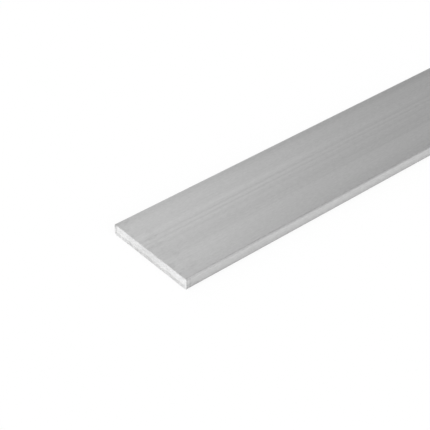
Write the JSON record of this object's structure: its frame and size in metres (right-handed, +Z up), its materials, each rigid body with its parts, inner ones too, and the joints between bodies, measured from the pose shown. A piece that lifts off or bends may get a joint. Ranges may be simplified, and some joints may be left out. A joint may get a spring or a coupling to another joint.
{
  "type": "metal flat bar",
  "caption": "Flat bar of extruded aluminium in mill finish, with small rounded long edges and square sawn ends, used as bracket and framing stock.",
  "frame": {"origin": "middle of the underside, on the surface that the bar lies on", "axes": "+X along the bar's length, +Y across its width, +Z up through its thickness"},
  "size_m": [1, 0.035, 0.004],
  "materials": {
    "mill_aluminium": "mill finish as extruded: matte silver grey with faint die lines along the length, and brighter sawn ends"
  },
  "bodies": {
    "root": {"flat_bar": "mill_aluminium"}
  },
  "joints": []
}
